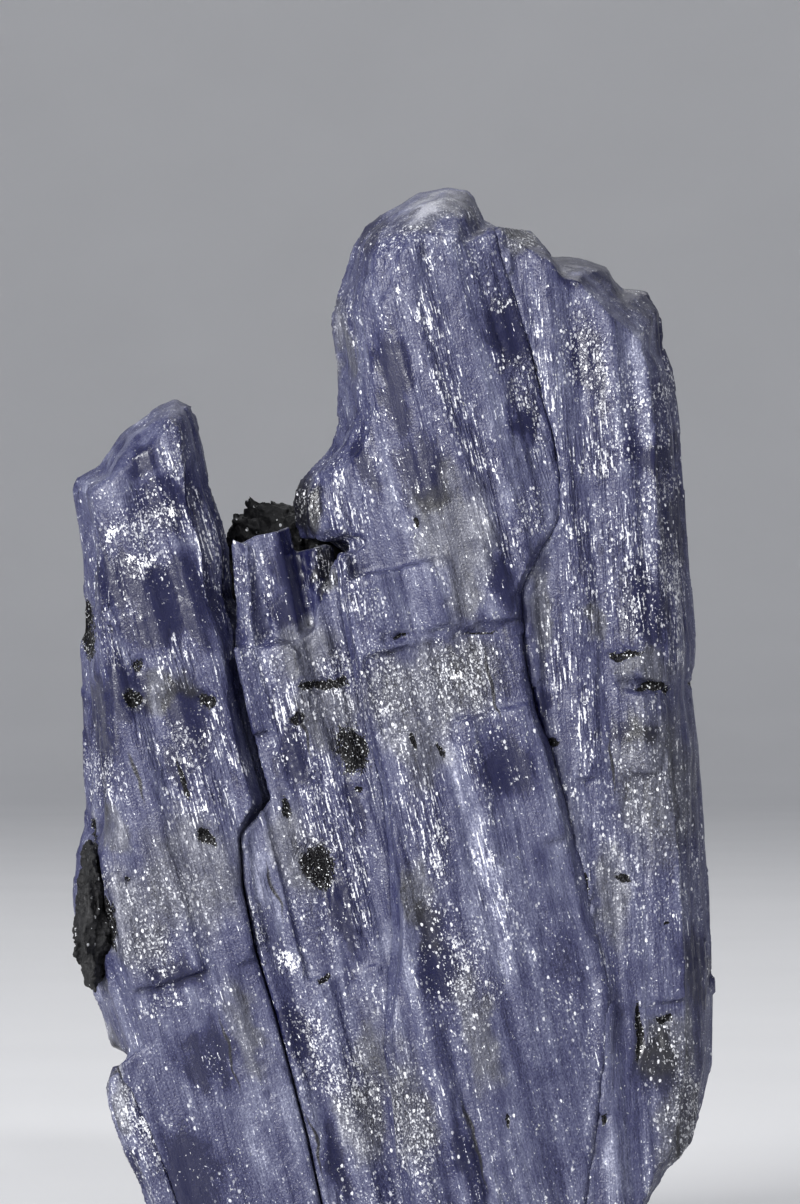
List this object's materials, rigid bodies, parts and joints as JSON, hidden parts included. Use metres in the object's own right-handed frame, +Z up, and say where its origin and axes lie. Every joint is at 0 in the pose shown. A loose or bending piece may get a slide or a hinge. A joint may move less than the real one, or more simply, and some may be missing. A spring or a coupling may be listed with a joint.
{
  "type": "tanzanite crystal cluster",
  "caption": "Upright cluster of striated violet-blue tanzanite crystals grown side by side, with stepped ends and specks of black graphite, standing on a flat broken base.",
  "frame": {"origin": "on the flat broken base, under the middle of the cluster", "axes": "+Z up along the crystals, +X to the right, +Y away from the viewer"},
  "size_m": [0.0386, 0.0168, 0.064],
  "materials": {
    "tanzanite": "cloudy violet-blue crystal, striated, with bright glints",
    "graphite": "black, crumbly, dull metallic sheen"
  },
  "bodies": {
    "root": {"left_crystal": "tanzanite", "foot_crystal": "tanzanite", "middle_crystal": "tanzanite", "tall_crystal": "tanzanite", "right_crystal": "tanzanite", "side_graphite": "graphite", "notch_graphite": "graphite"}
  },
  "joints": []
}
